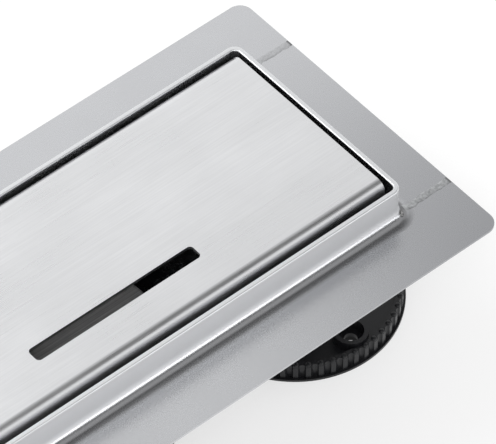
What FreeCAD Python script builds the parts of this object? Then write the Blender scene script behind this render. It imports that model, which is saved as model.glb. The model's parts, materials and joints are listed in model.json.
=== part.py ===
import FreeCAD, Part
import Sketcher
import math
import os
import re

# Linear shower drain: a welded stainless channel with a wide bonding flange and a hemmed rim,
# a loose slotted cover, a drop-in odour trap in the middle and a screw-levelled foot at each end.
# X runs along the drain, Y across it towards the outlet, Z up from the slab the feet stand on.
# The origin is on the slab, under the axis of the trap. Lengths are in millimetres.

doc = FreeCAD.newDocument("linear_shower_drain")
dims = doc.addObject("Spreadsheet::Sheet", "dims")

SIZES = {
    # Channel, flange and rim
    "cover_length": 237.8,
    "cover_width": 92.0,
    "cover_gap": 2.5,
    "cover_end_gap": 2.1,
    "cover_shift": 1.2,
    "sheet": 1.0,
    "hem_gap": 0.3,
    "rim_height": 16.9,
    "rim_round": 0.6,
    "rim_corner": 2.4,
    "rim_bend": 6.0,
    "side_flange": 28.0,
    "end_flange": 26.7,
    "flange_corner": 6.0,
    "trough_depth": 28.9,
    "trough_bend": 2.0,
    "flange_level": 86.3,
    "corner_lip": 0.5,
    # Cover and what carries it
    "cover_sheet": 1.5,
    "cover_bend": 3.0,
    "cover_sink": 0.1,
    "cover_skirt": 16.0,
    "slot_length": 81.4,
    "slot_width": 7.0,
    "slot_offset": 23.7,
    "slot_corner": 1.8,
    "bridge_sheet": 1.5,
    "bridge_play": 1.0,
    "bridge_tab": 5.5,
    "bridge_breadth": 20.0,
    "bridge_place": 82.0,
    "bridge_bend": 2.0,
    "buffer_height": 2.0,
    "buffer_radius": 6.0,
    "buffer_place": 28.0,
    # Trap seat in the trough floor
    "collar_ledge": 2.0,
    "seat_edge": 0.2,
    "seat_play": 0.1,
    "gasket_height": 2.0,
    "ring_height": 3.0,
    "screw_count": 6,
    "screw_radius": 2.0,
    "screw_length": 16.0,
    "screw_tip": 1.0,
    "screw_head": 4.0,
    "screw_clearance": 0.3,
    "pilot_clearance": 0.05,
    "boss_wall": 2.2,
    # Trap body and outlet
    "body_flange": 4.0,
    "body_wall": 2.5,
    "body_clearance": 4.6,
    "body_round": 6.0,
    "outlet_radius": 20.0,
    "outlet_wall": 2.4,
    "outlet_reach": 98.0,
    "outlet_rise": 2.5,
    "outlet_stop": 54.0,
    "outlet_stop_height": 2.5,
    "outlet_stop_width": 3.0,
    "outlet_chamfer": 1.5,
    # Trap insert, cup and strainer
    "insert_play": 0.4,
    "insert_collar": 2.0,
    "insert_sleeve": 3.0,
    "insert_depth": 10.0,
    "insert_skin": 2.0,
    "ledge_width": 3.0,
    "ledge_drop": 2.0,
    "funnel_drop": 8.4,
    "dip_way": 9.2,
    "dip_gap": 6.0,
    "ring_section": 1.05,
    "ring_drop": 6.4,
    "cup_way": 8.0,
    "cup_wall": 1.8,
    "cup_round": 4.0,
    "cup_floor_gap": 2.0,
    "cup_overflow": 4.0,
    "cup_leg_width": 7.0,
    "cup_leg_count": 3,
    "strainer_sheet": 0.8,
    "strainer_drop": 20.9,
    "strainer_play": 0.7,
    "strainer_bend": 1.2,
    "strainer_slot": 2.6,
    "strainer_slot_corner": 1.2,
    "strainer_slot_height": 7.0,
    "strainer_slot_rise": 2.5,
    "strainer_slot_count": 24,
    # Feet
    "foot_inset": 7.7,
    "foot_radius": 46.0,
    "foot_pad_show": 0.3,
    "foot_pad_height": 2.5,
    "foot_pad_margin": 5.2,
    "foot_pad_play": 0.2,
    "foot_band": 8.4,
    "foot_lip": 0.8,
    "foot_lip_height": 1.2,
    "foot_shoulder": 0.8,
    "foot_rim": 3.0,
    "foot_web": 3.0,
    "foot_hub": 13.0,
    "foot_hub_height": 14.1,
    "foot_draft": 1.5,
    "foot_rim_draft": 0.5,
    "flute_count": 54,
    "flute_radius": 1.7,
    "flute_depth": 1.1,
    "eye_margin": 10.7,
    "eye_radius": 7.4,
    "eye_height": 9.9,
    "eye_bore": 5.5,
    "eye_floor": 2.0,
    "eye_screw": 3.0,
    "gusset_width": 9.0,
    "gusset_drop": 1.0,
    "stud_radius": 5.0,
    "stud_play": 0.05,
    "stud_bottom": 4.0,
    "stud_top_gap": 5.0,
    "stud_chamfer": 0.8,
    # Foot brackets and nuts
    "bracket_sheet": 2.0,
    "bracket_depth": 26.9,
    "bracket_span": 48.0,
    "bracket_tab": 12.0,
    "bracket_breadth": 22.0,
    "bracket_bend": 2.0,
    "bracket_hole": 5.5,
    "washer_radius": 10.0,
    "washer_height": 1.5,
    "nut_width": 17.0,
    "nut_height": 8.0,
    "lock_nut_height": 5.0,
    "nut_round": 1.0,
}

for row, (alias, size) in enumerate(SIZES.items(), start=1):
    dims.set(f"A{row}", alias.replace("_", " "))
    dims.set(f"B{row}", str(size))
    dims.setAlias(f"B{row}", alias)
doc.recompute()


def cell(text):
    """Write each size named in the text as a reference to the sheet."""
    return re.sub(r"[a-z]\w*", lambda word: "dims." + word[0] if word[0] in SIZES else word[0], text)


PIVOT_LENGTH = 10.0

# Derived places, as expressions of the sizes. Heights of channel parts count from the flange's top.
RIM_THICK = "( 2 * sheet + hem_gap )"
RIM_IN_Y = "( cover_width / 2 + cover_gap )"
RIM_IN_X = "( cover_length / 2 + cover_end_gap )"
RIM_OUT_Y = f"( {RIM_IN_Y} + {RIM_THICK} )"
RIM_OUT_X = f"( {RIM_IN_X} + {RIM_THICK} )"
FLANGE_Y = f"( {RIM_OUT_Y} + side_flange )"
FLANGE_X = f"( {RIM_OUT_X} + end_flange )"
FLOOR_TOP = "( flange_level - trough_depth )"
FLOOR_UNDER = f"( {FLOOR_TOP} - sheet )"
COVER_TOP = "( flange_level + rim_height - cover_sink )"
COVER_UNDER = f"( {COVER_TOP} - cover_sheet )"
CORNER_X = f"( {RIM_IN_X} - rim_corner )"
CORNER_Y = f"( {RIM_IN_Y} - rim_corner )"
CORNER_REACH = f"( rim_corner + {RIM_THICK} + rim_bend + corner_lip )"
FLOOR_FLAT = f"( {RIM_IN_Y} - trough_bend )"
SEAT_RADIUS = f"( {FLOOR_FLAT} - seat_play )"
SCREW_CIRCLE = f"( {SEAT_RADIUS} - seat_edge - screw_head )"
FLOOR_HOLE = f"( {SCREW_CIRCLE} - screw_head - seat_edge )"
NECK_RADIUS = f"( {FLOOR_HOLE} - collar_ledge )"
BRIDGE_HALF = f"( {FLOOR_FLAT} - bridge_play - bridge_tab - bridge_bend )"
SEAT_TOP = f"( {FLOOR_UNDER} - gasket_height )"
RING_TOP = f"( {FLOOR_TOP} + ring_height )"
FOOT_X = "( cover_length / 2 - foot_inset )"
WEB_UNDER = f"( {FLOOR_UNDER} - bracket_depth )"
WEB_TOP = f"( {WEB_UNDER} + bracket_sheet )"
BODY_FLOOR = "( foot_pad_show + body_clearance + body_wall )"
OUTLET_AXIS = "( foot_pad_show + body_clearance + outlet_rise + outlet_radius )"
SLEEVE_OUT = f"( {NECK_RADIUS} - insert_play )"
SLEEVE_IN = f"( {SLEEVE_OUT} - insert_sleeve )"
LEDGE_TOP = f"( {SEAT_TOP} - ledge_drop )"
LEDGE_IN = f"( {SLEEVE_IN} - ledge_width )"
SLEEVE_FOOT = f"( {SEAT_TOP} - insert_depth )"
CUP_FLOOR = f"( {BODY_FLOOR} + cup_floor_gap )"
CUP_RADIUS = f"( {NECK_RADIUS} - cup_way )"
DIP_RADIUS = f"( {CUP_RADIUS} - cup_wall - dip_way )"
FOOT_TOP = "( foot_pad_show + foot_band )"
LIP_TOP = "( foot_pad_show + foot_lip_height )"
BAND_RADIUS = "( foot_radius - foot_lip )"
PAD_RADIUS = "( foot_radius - foot_pad_margin )"
EYE_PLACE = "( foot_radius - eye_margin )"


def plane(body, role):
    """The body's own origin plane or axis of the given role."""
    return [item for item in body.Origin.OriginFeatures if item.Role == role][0]


def new_body(label, height="0", along="0", turn=0, across="0"):
    """A piece whose own origin stands at the given height and place in plan."""
    body = doc.addObject("PartDesign::Body", label)
    body.Label = label
    body.AllowCompound = True
    body.Placement = FreeCAD.Placement(FreeCAD.Vector(), FreeCAD.Rotation(FreeCAD.Vector(0, 0, 1), turn))
    body.setExpression("Placement.Base.x", cell(along))
    body.setExpression("Placement.Base.y", cell(across))
    body.setExpression("Placement.Base.z", cell(height))
    return body


def new_sketch(body, name, role, offset="0"):
    """A sketch on one of the body's origin planes, moved off it along its normal."""
    sketch = body.newObject("Sketcher::SketchObject", name)
    sketch.AttachmentSupport = [(plane(body, role), "")]
    sketch.MapMode = "FlatFace"
    sketch.setExpression("AttachmentOffset.Base.z", cell(offset))
    return sketch


def pin_point(sketch, edge, end, x, y):
    """Hold one end of an edge at a place given by two expressions."""
    for kind, axis, text in (("DistanceX", -2, x), ("DistanceY", -1, y)):
        if text == "0":
            sketch.addConstraint(Sketcher.Constraint("PointOnObject", edge, end, axis))
            continue
        size = sketch.evalExpression(cell(text))
        index = sketch.addConstraint(Sketcher.Constraint(kind, -1, 1, edge, end, size))
        sketch.setExpression(f"Constraints[{index}]", cell(text))


def arc_between(start, end, radius, turn):
    """A short arc from start to end, to the left when turn is 1 and to the right when it is -1."""
    chord = end - start
    side = FreeCAD.Vector(-chord.y, chord.x, 0).normalize()
    reach = math.sqrt(max(radius ** 2 - (chord.Length / 2) ** 2, 0))
    centre = (start + end) * 0.5 + side * (reach * turn)
    angles = [math.atan2(point.y - centre.y, point.x - centre.x) for point in (start, end)]
    if turn < 0:
        angles.reverse()
    return Part.ArcOfCircle(Part.Circle(centre, FreeCAD.Vector(0, 0, 1), radius), *angles)


def outline(sketch, corners):
    """Draw a closed outline. A corner is x and y, and for an arc that ends there its radius and turn."""
    points = [FreeCAD.Vector(*(sketch.evalExpression(cell(text)) for text in corner[:2]), 0)
              for corner in corners]
    ends = []
    for index, corner in enumerate(corners):
        start, end = points[index - 1], points[index]
        if len(corner) == 2:
            edge = sketch.addGeometry(Part.LineSegment(start, end))
            ends.append((edge, 1, 2))
            continue
        size = sketch.evalExpression(cell(corner[2]))
        edge = sketch.addGeometry(arc_between(start, end, size, corner[3]))
        ends.append((edge, 1, 2) if corner[3] > 0 else (edge, 2, 1))
        held = sketch.addConstraint(Sketcher.Constraint("Radius", edge, size))
        sketch.setExpression(f"Constraints[{held}]", cell(corner[2]))
    for index, corner in enumerate(corners):
        edge, first, last = ends[index]
        following = ends[(index + 1) % len(corners)]
        sketch.addConstraint(Sketcher.Constraint("Coincident", edge, last, following[0], following[1]))
        pin_point(sketch, edge, last, corner[0], corner[1])


def circle(sketch, x, y, radius):
    """Draw a circle at a place given by two expressions."""
    size = sketch.evalExpression(cell(radius))
    centre = FreeCAD.Vector(sketch.evalExpression(cell(x)), sketch.evalExpression(cell(y)), 0)
    edge = sketch.addGeometry(Part.Circle(centre, FreeCAD.Vector(0, 0, 1), size))
    pin_point(sketch, edge, 3, x, y)
    held = sketch.addConstraint(Sketcher.Constraint("Radius", edge, size))
    sketch.setExpression(f"Constraints[{held}]", cell(radius))


def rounded_box(sketch, x, y, length, width, corner):
    """Draw a rectangle about a place, with rounded corners."""
    left, right = f"( {x} - {length} / 2 )", f"( {x} + {length} / 2 )"
    low, high = f"( {y} - {width} / 2 )", f"( {y} + {width} / 2 )"
    outline(sketch, [
        (f"( {right} - {corner} )", low), (right, f"( {low} + {corner} )", corner, 1), (right, f"( {high} - {corner} )"),
        (f"( {right} - {corner} )", high, corner, 1), (f"( {left} + {corner} )", high),
        (left, f"( {high} - {corner} )", corner, 1), (left, f"( {low} + {corner} )"),
        (f"( {left} + {corner} )", low, corner, 1)])


def extrude(body, kind, name, sketch, length, both=False, back=False):
    """Pad or pocket a sketch, both ways about its plane or backwards where asked."""
    feature = body.newObject("PartDesign::" + kind, name)
    feature.Profile = sketch
    feature.setExpression("Length", cell(length))
    feature.SideType = "Symmetric" if both else "One side"
    feature.Reversed = back
    return feature


def revolve(body, name, sketch, axis="V_Axis", kind="Revolution", angle=360):
    """Turn a sketch about its upright axis, or about the construction line drawn in it."""
    feature = body.newObject("PartDesign::" + kind, name)
    feature.Profile = sketch
    feature.ReferenceAxis = (sketch, [axis])
    feature.Angle = angle
    return feature


def mirror(body, name, features, role):
    """Repeat features on the other side of one of the body's origin planes."""
    feature = body.newObject("PartDesign::Mirrored", name)
    feature.Originals = features
    feature.MirrorPlane = (plane(body, role), [""])
    body.Tip = feature
    return feature


def ring_of(body, name, features, count):
    """Repeat features round the body's vertical axis."""
    feature = body.newObject("PartDesign::PolarPattern", name)
    feature.Originals = features
    feature.Axis = (plane(body, "Z_Axis"), [""])
    feature.Angle = 360
    feature.setExpression("Occurrences", cell(count))
    body.Tip = feature
    return feature


def pivot(sketch, x, y, upright=True):
    """A construction line through a place, for a turned feature that isn't about the body's own axis."""
    start = FreeCAD.Vector(sketch.evalExpression(cell(x)), sketch.evalExpression(cell(y)), 0)
    end = start + FreeCAD.Vector(*((0, PIVOT_LENGTH, 0) if upright else (PIVOT_LENGTH, 0, 0)))
    edge = sketch.addGeometry(Part.LineSegment(start, end), True)
    pin_point(sketch, edge, 1, x, y)
    sketch.addConstraint(Sketcher.Constraint("Vertical" if upright else "Horizontal", edge))
    sketch.addConstraint(Sketcher.Constraint("Distance", edge, 1, edge, 2, PIVOT_LENGTH))


def quarters(body, name, features):
    """Repeat features in all four quarters of the plan."""
    feature = body.newObject("PartDesign::MultiTransform", name)
    feature.Originals = features
    halves = []
    for role in ("XZ_Plane", "YZ_Plane"):
        half = body.newObject("PartDesign::Mirrored", f"{name}_{role[:2].lower()}")
        half.MirrorPlane = (plane(body, role), [""])
        halves.append(half)
    feature.Transformations = halves
    body.Tip = feature
    return feature


def hem_top(inner, outer):
    """The rim's flattened top as corners, from its outer face over to its inner face."""
    spring = "( rim_height - rim_round )"
    return [(outer, spring), (f"( {outer} - rim_round )", "rim_height", "rim_round", 1),
            (f"( {inner} + rim_round )", "rim_height"), (inner, spring, "rim_round", 1)]


def hem_fold(inner, outer):
    """The narrow gap inside the hem as corners, up its inner layer and down its outer one."""
    spring = f"( rim_height - {RIM_THICK} / 2 )"
    return [(f"( {inner} + sheet )", spring),
            (f"( {inner} + sheet + hem_gap / 2 )", f"( {spring} + hem_gap / 2 )", "( hem_gap / 2 )", -1),
            (f"( {outer} - sheet )", spring, "( hem_gap / 2 )", -1),
            (f"( {outer} - sheet )", "rim_bend")]


def flange_bend(outer, edge):
    """The flange under the rim as corners, from the hem gap out to the edge and back to the rim."""
    return [(f"( {outer} + rim_bend )", "( 0 - sheet )", "( rim_bend + sheet )", 1),
            (edge, "( 0 - sheet )"), (edge, "0"), (f"( {outer} + rim_bend )", "0"),
            (outer, "rim_bend", "rim_bend", -1)]


def corner_cut(body, name):
    """Clear the room of one rounded rim corner out of the folded sheets, down to the flange's underside."""
    plan = new_sketch(body, name + "_plan", "XY_Plane", "rim_height")
    outline(plan, [(CORNER_X, CORNER_Y), (f"( {CORNER_X} + {CORNER_REACH} )", CORNER_Y),
                   (CORNER_X, f"( {CORNER_Y} + {CORNER_REACH} )", CORNER_REACH, 1)])
    return extrude(body, "Pocket", name, plan, "( rim_height + sheet )")


def channel_sheet():
    """The long folded sheet: flange, hemmed rim, trough wall and floor of both sides, and its trap hole."""
    body = new_body("channel_sheet", "flange_level")
    fold = new_sketch(body, "side_fold", "YZ_Plane")
    outline(fold, [("0", "( 0 - trough_depth )"), ("0", "( 0 - trough_depth - sheet )"),
                   (f"( {RIM_IN_Y} - trough_bend )", "( 0 - trough_depth - sheet )"),
                   (f"( {RIM_IN_Y} + sheet )", "( trough_bend - trough_depth )",
                    "( trough_bend + sheet )", 1)]
            + hem_fold(RIM_IN_Y, RIM_OUT_Y) + flange_bend(RIM_OUT_Y, FLANGE_Y)
            + hem_top(RIM_IN_Y, RIM_OUT_Y)
            + [(RIM_IN_Y, "( trough_bend - trough_depth )"),
               (f"( {RIM_IN_Y} - trough_bend )", "( 0 - trough_depth )", "trough_bend", -1)])
    side = extrude(body, "Pad", "folded_side", fold, f"2 * {RIM_IN_X}", both=True)
    wing = new_sketch(body, "flange_wings_plan", "XY_Plane")
    for sign in ("", "0 - "):
        turn = 1 if sign == "" else -1
        outline(wing, [(f"( {sign}{RIM_IN_X} )", RIM_IN_Y), (f"( {sign}{FLANGE_X} )", RIM_IN_Y),
                       (f"( {sign}{FLANGE_X} )", f"( {FLANGE_Y} - flange_corner )"),
                       (f"( {sign}( {FLANGE_X} - flange_corner ) )", FLANGE_Y, "flange_corner", turn),
                       (f"( {sign}{RIM_IN_X} )", FLANGE_Y)])
    wings = extrude(body, "Pad", "flange_wings", wing, "sheet", back=True)
    mirror(body, "both_sides", [side, wings], "XZ_Plane")
    quarters(body, "corners_open", [corner_cut(body, "corner_room")])
    hole = new_sketch(body, "trap_hole_plan", "XY_Plane", "( 0 - trough_depth )")
    circle(hole, "0", "0", FLOOR_HOLE)
    extrude(body, "Pocket", "trap_hole", hole, "sheet")
    screw = new_sketch(body, "screw_hole_plan", "XY_Plane", "( 0 - trough_depth )")
    circle(screw, SCREW_CIRCLE, "0", "( screw_radius + screw_clearance )")
    screws = extrude(body, "Pocket", "screw_hole", screw, "sheet")
    ring_of(body, "screw_holes", [screws], "screw_count")
    return body


def end_sheet(label, turn):
    """A folded sheet that closes one end: flange strip, hemmed rim and end wall."""
    body = new_body(label, "flange_level", turn=turn)
    fold = new_sketch(body, label + "_fold", "XZ_Plane")
    outline(fold, [(RIM_IN_X, "( 0 - trough_depth - sheet )"),
                   (f"( {RIM_IN_X} + sheet )", "( 0 - trough_depth - sheet )")]
            + hem_fold(RIM_IN_X, RIM_OUT_X) + flange_bend(RIM_OUT_X, FLANGE_X)
            + hem_top(RIM_IN_X, RIM_OUT_X))
    folded = extrude(body, "Pad", label + "_folded", fold, f"2 * {RIM_IN_Y}", both=True)
    trim = new_sketch(body, label + "_trim", "YZ_Plane", RIM_IN_X)
    outline(trim, [(f"( {RIM_IN_Y} + sheet )", "( 0 - trough_depth - sheet )"),
                   (f"( {RIM_IN_Y} + sheet )", "( trough_bend - trough_depth )"),
                   (f"( {RIM_IN_Y} - trough_bend )", "( 0 - trough_depth - sheet )",
                    "( trough_bend + sheet )", -1)])
    cut = extrude(body, "Pocket", label + "_corner_trim", trim, "sheet", back=True)
    mirror(body, label + "_corners", [cut, corner_cut(body, label + "_corner_room")], "XZ_Plane")
    return body


def corner_welds():
    """The rim's rounded corners, welded in and ground flush, and the beads down the trough's corners."""
    body = new_body("corner_welds", "flange_level")
    fold = new_sketch(body, "rim_corner_section", "XZ_Plane", f"( 0 - {CORNER_Y} )")
    outline(fold, [(RIM_IN_X, "( 0 - sheet )"), (f"( {RIM_IN_X} + sheet )", "( 0 - sheet )")]
            + hem_fold(RIM_IN_X, RIM_OUT_X) + flange_bend(RIM_OUT_X, f"( {CORNER_X} + {CORNER_REACH} )")
            + hem_top(RIM_IN_X, RIM_OUT_X))
    pivot(fold, CORNER_X, "0")
    corner = revolve(body, "rim_corner", fold, "Axis0", angle=90)
    bead = new_sketch(body, "trough_weld_plan", "XY_Plane", "( 0 - sheet )")
    outline(bead, [(RIM_IN_X, RIM_IN_Y), (f"( {RIM_IN_X} + sheet )", RIM_IN_Y),
                   (RIM_IN_X, f"( {RIM_IN_Y} + sheet )", "sheet", 1)])
    beads = extrude(body, "Pad", "trough_weld", bead, "( trough_depth - trough_bend - sheet )", back=True)
    quarters(body, "welds_all_corners", [corner, beads])
    return body


def cover_plate():
    """The loose cover: one sheet with both long edges folded down, cut plain at its ends, with one slot."""
    body = new_body("cover_plate", COVER_TOP, across="cover_shift")
    edge = "( cover_width / 2 )"
    fold = new_sketch(body, "cover_fold", "YZ_Plane")
    outline(fold, [("0", "0"), ("0", "( 0 - cover_sheet )"),
                   (f"( {edge} - cover_sheet - cover_bend )", "( 0 - cover_sheet )"),
                   (f"( {edge} - cover_sheet )", "( 0 - cover_sheet - cover_bend )", "cover_bend", -1),
                   (f"( {edge} - cover_sheet )", "( 0 - cover_skirt )"), (edge, "( 0 - cover_skirt )"),
                   (edge, "( 0 - cover_sheet - cover_bend )"),
                   (f"( {edge} - cover_sheet - cover_bend )", "0", "( cover_sheet + cover_bend )", 1)])
    half = extrude(body, "Pad", "cover_half", fold, "cover_length", both=True)
    mirror(body, "cover_whole", [half], "XZ_Plane")
    slot = new_sketch(body, "slot_plan", "XY_Plane")
    rounded_box(slot, "0", "( 0 - slot_offset )", "slot_length", "slot_width", "slot_corner")
    extrude(body, "Pocket", "slot", slot, "cover_sheet")
    return body


def hat_fold(sketch, half_span, tab, thick, bend, rise, sign):
    """Half the section of a folded hat: outward tab at height 0, leg, and web at the given rise."""
    def at(y, height):
        return (y, f"( {sign} ( {height} ) )")
    turn = 1 if sign == "" else -1
    outline(sketch, [
        at("0", rise), at("0", f"{rise} - {thick}"),
        at(f"( {half_span} - {thick} - {bend} )", f"{rise} - {thick}"),
        at(f"( {half_span} - {thick} )", f"{rise} - {thick} - {bend}") + (bend, -turn),
        at(f"( {half_span} - {thick} )", f"{thick} + {bend}"),
        at(f"( {half_span} + {bend} )", "0") + (f"( {thick} + {bend} )", turn),
        at(f"( {half_span} + {bend} + {tab} )", "0"), at(f"( {half_span} + {bend} + {tab} )", thick),
        at(f"( {half_span} + {bend} )", thick),
        at(half_span, f"{thick} + {bend}") + (bend, -turn),
        at(half_span, f"{rise} - {thick} - {bend}"),
        at(f"( {half_span} - {thick} - {bend} )", rise) + (f"( {thick} + {bend} )", turn)])


def cover_bridge(label, along):
    """A folded bridge that stands on the trough floor and carries one end of the cover."""
    body = new_body(label, FLOOR_TOP, along)
    fold = new_sketch(body, label + "_fold", "YZ_Plane")
    rise = f"( {COVER_UNDER} - buffer_height - {FLOOR_TOP} )"
    hat_fold(fold, BRIDGE_HALF, "bridge_tab", "bridge_sheet", "bridge_bend", rise, "")
    half = extrude(body, "Pad", label + "_half", fold, "bridge_breadth", both=True)
    mirror(body, label + "_whole", [half], "XZ_Plane")
    return body


def cover_buffers():
    """Four rubber buffers on the bridges, under the cover."""
    body = new_body("cover_buffers", f"{COVER_UNDER} - buffer_height")
    plan = new_sketch(body, "buffer_plan", "XY_Plane")
    for x in ("bridge_place", "( 0 - bridge_place )"):
        for y in ("buffer_place", "( 0 - buffer_place )"):
            circle(plan, x, y, "buffer_radius")
    extrude(body, "Pad", "buffers", plan, "buffer_height")
    return body


def seat_ring(label, height, thick):
    """A flat ring round the trap hole, with its screw holes."""
    body = new_body(label, height)
    plan = new_sketch(body, label + "_plan", "XY_Plane")
    circle(plan, "0", "0", SEAT_RADIUS)
    circle(plan, "0", "0", FLOOR_HOLE)
    extrude(body, "Pad", label + "_ring", plan, thick)
    hole = new_sketch(body, label + "_hole_plan", "XY_Plane", thick)
    circle(hole, SCREW_CIRCLE, "0", "( screw_radius + screw_clearance )")
    holes = [extrude(body, "Pocket", label + "_hole", hole, thick)]
    if thick == "ring_height":
        sink = new_sketch(body, label + "_sink_section", "XZ_Plane")
        outline(sink, [(SCREW_CIRCLE, thick), (SCREW_CIRCLE, f"( {thick} - screw_head )"),
                       (f"( {SCREW_CIRCLE} + screw_head )", thick)])
        pivot(sink, SCREW_CIRCLE, "0")
        holes.append(revolve(body, label + "_sink", sink, "Axis0", "Groove"))
    ring_of(body, label + "_holes", holes, "screw_count")
    return body


def clamp_screws():
    """The countersunk screws that pull the trap up against the trough floor."""
    body = new_body("clamp_screws", f"{RING_TOP} - screw_length")
    section = new_sketch(body, "screw_section", "XZ_Plane")
    side = f"( {SCREW_CIRCLE} + screw_radius )"
    outline(section, [(SCREW_CIRCLE, "0"), (f"( {side} - screw_tip )", "0"), (side, "screw_tip"),
                      (side, "( screw_length - screw_head + screw_radius )"),
                      (f"( {SCREW_CIRCLE} + screw_head )", "screw_length"),
                      (SCREW_CIRCLE, "screw_length")])
    pivot(section, SCREW_CIRCLE, "0")
    screw = revolve(body, "clamp_screw", section, "Axis0")
    ring_of(body, "clamp_screw_ring", [screw], "screw_count")
    return body


def trap_body():
    """The moulded trap body: deep cup with a bolting flange, screw bosses and a side outlet."""
    body = new_body("trap_body")
    outer = f"( {NECK_RADIUS} + body_wall )"
    bottom = "( foot_pad_show + body_clearance )"
    flange_under = f"( {SEAT_TOP} - body_flange )"
    shell = new_sketch(body, "body_section", "XZ_Plane")
    outline(shell, [("0", SEAT_TOP), ("0", bottom), (f"( {outer} - body_round )", bottom),
                    (outer, f"( {bottom} + body_round )", "body_round", 1),
                    (outer, flange_under), (SEAT_RADIUS, flange_under), (SEAT_RADIUS, SEAT_TOP)])
    revolve(body, "body_turned", shell)
    boss = new_sketch(body, "boss_plan", "XY_Plane", flange_under)
    circle(boss, SCREW_CIRCLE, "0", "( screw_radius + boss_wall )")
    reach = f"( {flange_under} - {RING_TOP} + screw_length + boss_wall )"
    bosses = extrude(body, "Pad", "boss", boss, reach, back=True)
    ring_of(body, "bosses", [bosses], "screw_count")
    spigot = new_sketch(body, "spigot_section", "YZ_Plane")
    high = f"( {OUTLET_AXIS} + outlet_radius )"
    outline(spigot, [("0", OUTLET_AXIS), ("outlet_reach", OUTLET_AXIS),
                     ("outlet_reach", f"( {high} - outlet_chamfer )"),
                     ("( outlet_reach - 2 * outlet_chamfer )", high),
                     ("( outlet_stop + outlet_stop_width )", high),
                     ("( outlet_stop + outlet_stop_width )", f"( {high} + outlet_stop_height )"),
                     ("outlet_stop", f"( {high} + outlet_stop_height )"),
                     ("outlet_stop", high), ("0", high)])
    pivot(spigot, "0", OUTLET_AXIS, upright=False)
    revolve(body, "spigot", spigot, "Axis0")
    chamber = new_sketch(body, "chamber_section", "XZ_Plane")
    round_in = "( body_round - body_wall )"
    outline(chamber, [("0", SEAT_TOP), ("0", BODY_FLOOR), (f"( {NECK_RADIUS} - {round_in} )", BODY_FLOOR),
                      (NECK_RADIUS, f"( {BODY_FLOOR} + {round_in} )", round_in, 1),
                      (NECK_RADIUS, SEAT_TOP)])
    revolve(body, "chamber", chamber, kind="Groove")
    bore = new_sketch(body, "outlet_bore_plan", "XZ_Plane", "( 0 - outlet_reach )")
    circle(bore, "0", OUTLET_AXIS, "( outlet_radius - outlet_wall )")
    extrude(body, "Pocket", "outlet_bore", bore, "outlet_reach", back=True)
    pilot = new_sketch(body, "pilot_plan", "XY_Plane", SEAT_TOP)
    circle(pilot, SCREW_CIRCLE, "0", "( screw_radius + pilot_clearance )")
    depth = f"( {SEAT_TOP} - {RING_TOP} + screw_length + pilot_clearance )"
    pilots = extrude(body, "Pocket", "pilot", pilot, depth)
    ring_of(body, "pilots", [pilots], "screw_count")
    return body


def trap_insert():
    """The lift-out insert: sealing sleeve, ledge for the strainer, funnel and dip pipe in one moulding."""
    body = new_body("trap_insert")
    section = new_sketch(body, "insert_section", "XZ_Plane")
    dip_in = f"( {DIP_RADIUS} - insert_skin )"
    dip_foot = f"( {CUP_FLOOR} + cup_wall + dip_gap )"
    throat = f"( {LEDGE_TOP} - funnel_drop )"
    groove_in = f"( {NECK_RADIUS} - 2 * ring_section )"
    groove_low = f"( {SEAT_TOP} - ring_drop - ring_section - pilot_clearance )"
    groove_high = f"( {SEAT_TOP} - ring_drop + ring_section + pilot_clearance )"
    collar = f"( {FLOOR_HOLE} - insert_play )"
    outline(section, [
        (dip_in, dip_foot), (DIP_RADIUS, dip_foot), (DIP_RADIUS, f"( {throat} - insert_skin )"),
        (SLEEVE_IN, f"( {LEDGE_TOP} - insert_skin )"), (SLEEVE_IN, SLEEVE_FOOT),
        (SLEEVE_OUT, SLEEVE_FOOT), (SLEEVE_OUT, groove_low), (groove_in, groove_low),
        (groove_in, groove_high), (SLEEVE_OUT, groove_high), (SLEEVE_OUT, SEAT_TOP),
        (collar, SEAT_TOP), (collar, f"( {SEAT_TOP} + insert_collar )"),
        (SLEEVE_IN, f"( {SEAT_TOP} + insert_collar )"), (SLEEVE_IN, LEDGE_TOP),
        (LEDGE_IN, LEDGE_TOP), (dip_in, throat)])
    revolve(body, "insert_turned", section)
    return body


def insert_o_ring():
    """The round seal in the insert's groove."""
    ring = doc.addObject("Part::Torus", "insert_o_ring")
    ring.Label = "insert_o_ring"
    ring.setExpression("Radius1", cell(f"{NECK_RADIUS} - ring_section"))
    ring.setExpression("Radius2", cell("ring_section - pilot_clearance / 2"))
    ring.setExpression("Placement.Base.z", cell(f"{SEAT_TOP} - ring_drop"))
    return ring


def trap_cup():
    """The water-seal cup round the dip pipe, held under the insert's sleeve by three legs."""
    body = new_body("trap_cup")
    rim = f"( {SLEEVE_FOOT} - cup_overflow )"
    inner = f"( {CUP_RADIUS} - cup_wall )"
    round_in = "( cup_round - cup_wall )"
    section = new_sketch(body, "cup_section", "XZ_Plane")
    outline(section, [
        ("0", f"( {CUP_FLOOR} + cup_wall )"), ("0", CUP_FLOOR), (f"( {CUP_RADIUS} - cup_round )", CUP_FLOOR),
        (CUP_RADIUS, f"( {CUP_FLOOR} + cup_round )", "cup_round", 1),
        (CUP_RADIUS, rim), (inner, rim), (inner, f"( {CUP_FLOOR} + cup_round )"),
        (f"( {inner} - {round_in} )", f"( {CUP_FLOOR} + cup_wall )", round_in, -1)])
    revolve(body, "cup_turned", section)
    leg = new_sketch(body, "leg_plan", "XY_Plane", SLEEVE_FOOT)
    far = f"( {SLEEVE_OUT} - insert_play )"
    outline(leg, [(inner, "( cup_leg_width / 2 )"), (inner, "( 0 - cup_leg_width / 2 )"),
                  (far, "( 0 - cup_leg_width / 2 )"), (far, "( cup_leg_width / 2 )")])
    legs = extrude(body, "Pad", "leg", leg, "( 2 * cup_overflow )", back=True)
    ring_of(body, "legs", [legs], "cup_leg_count")
    return body


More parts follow.
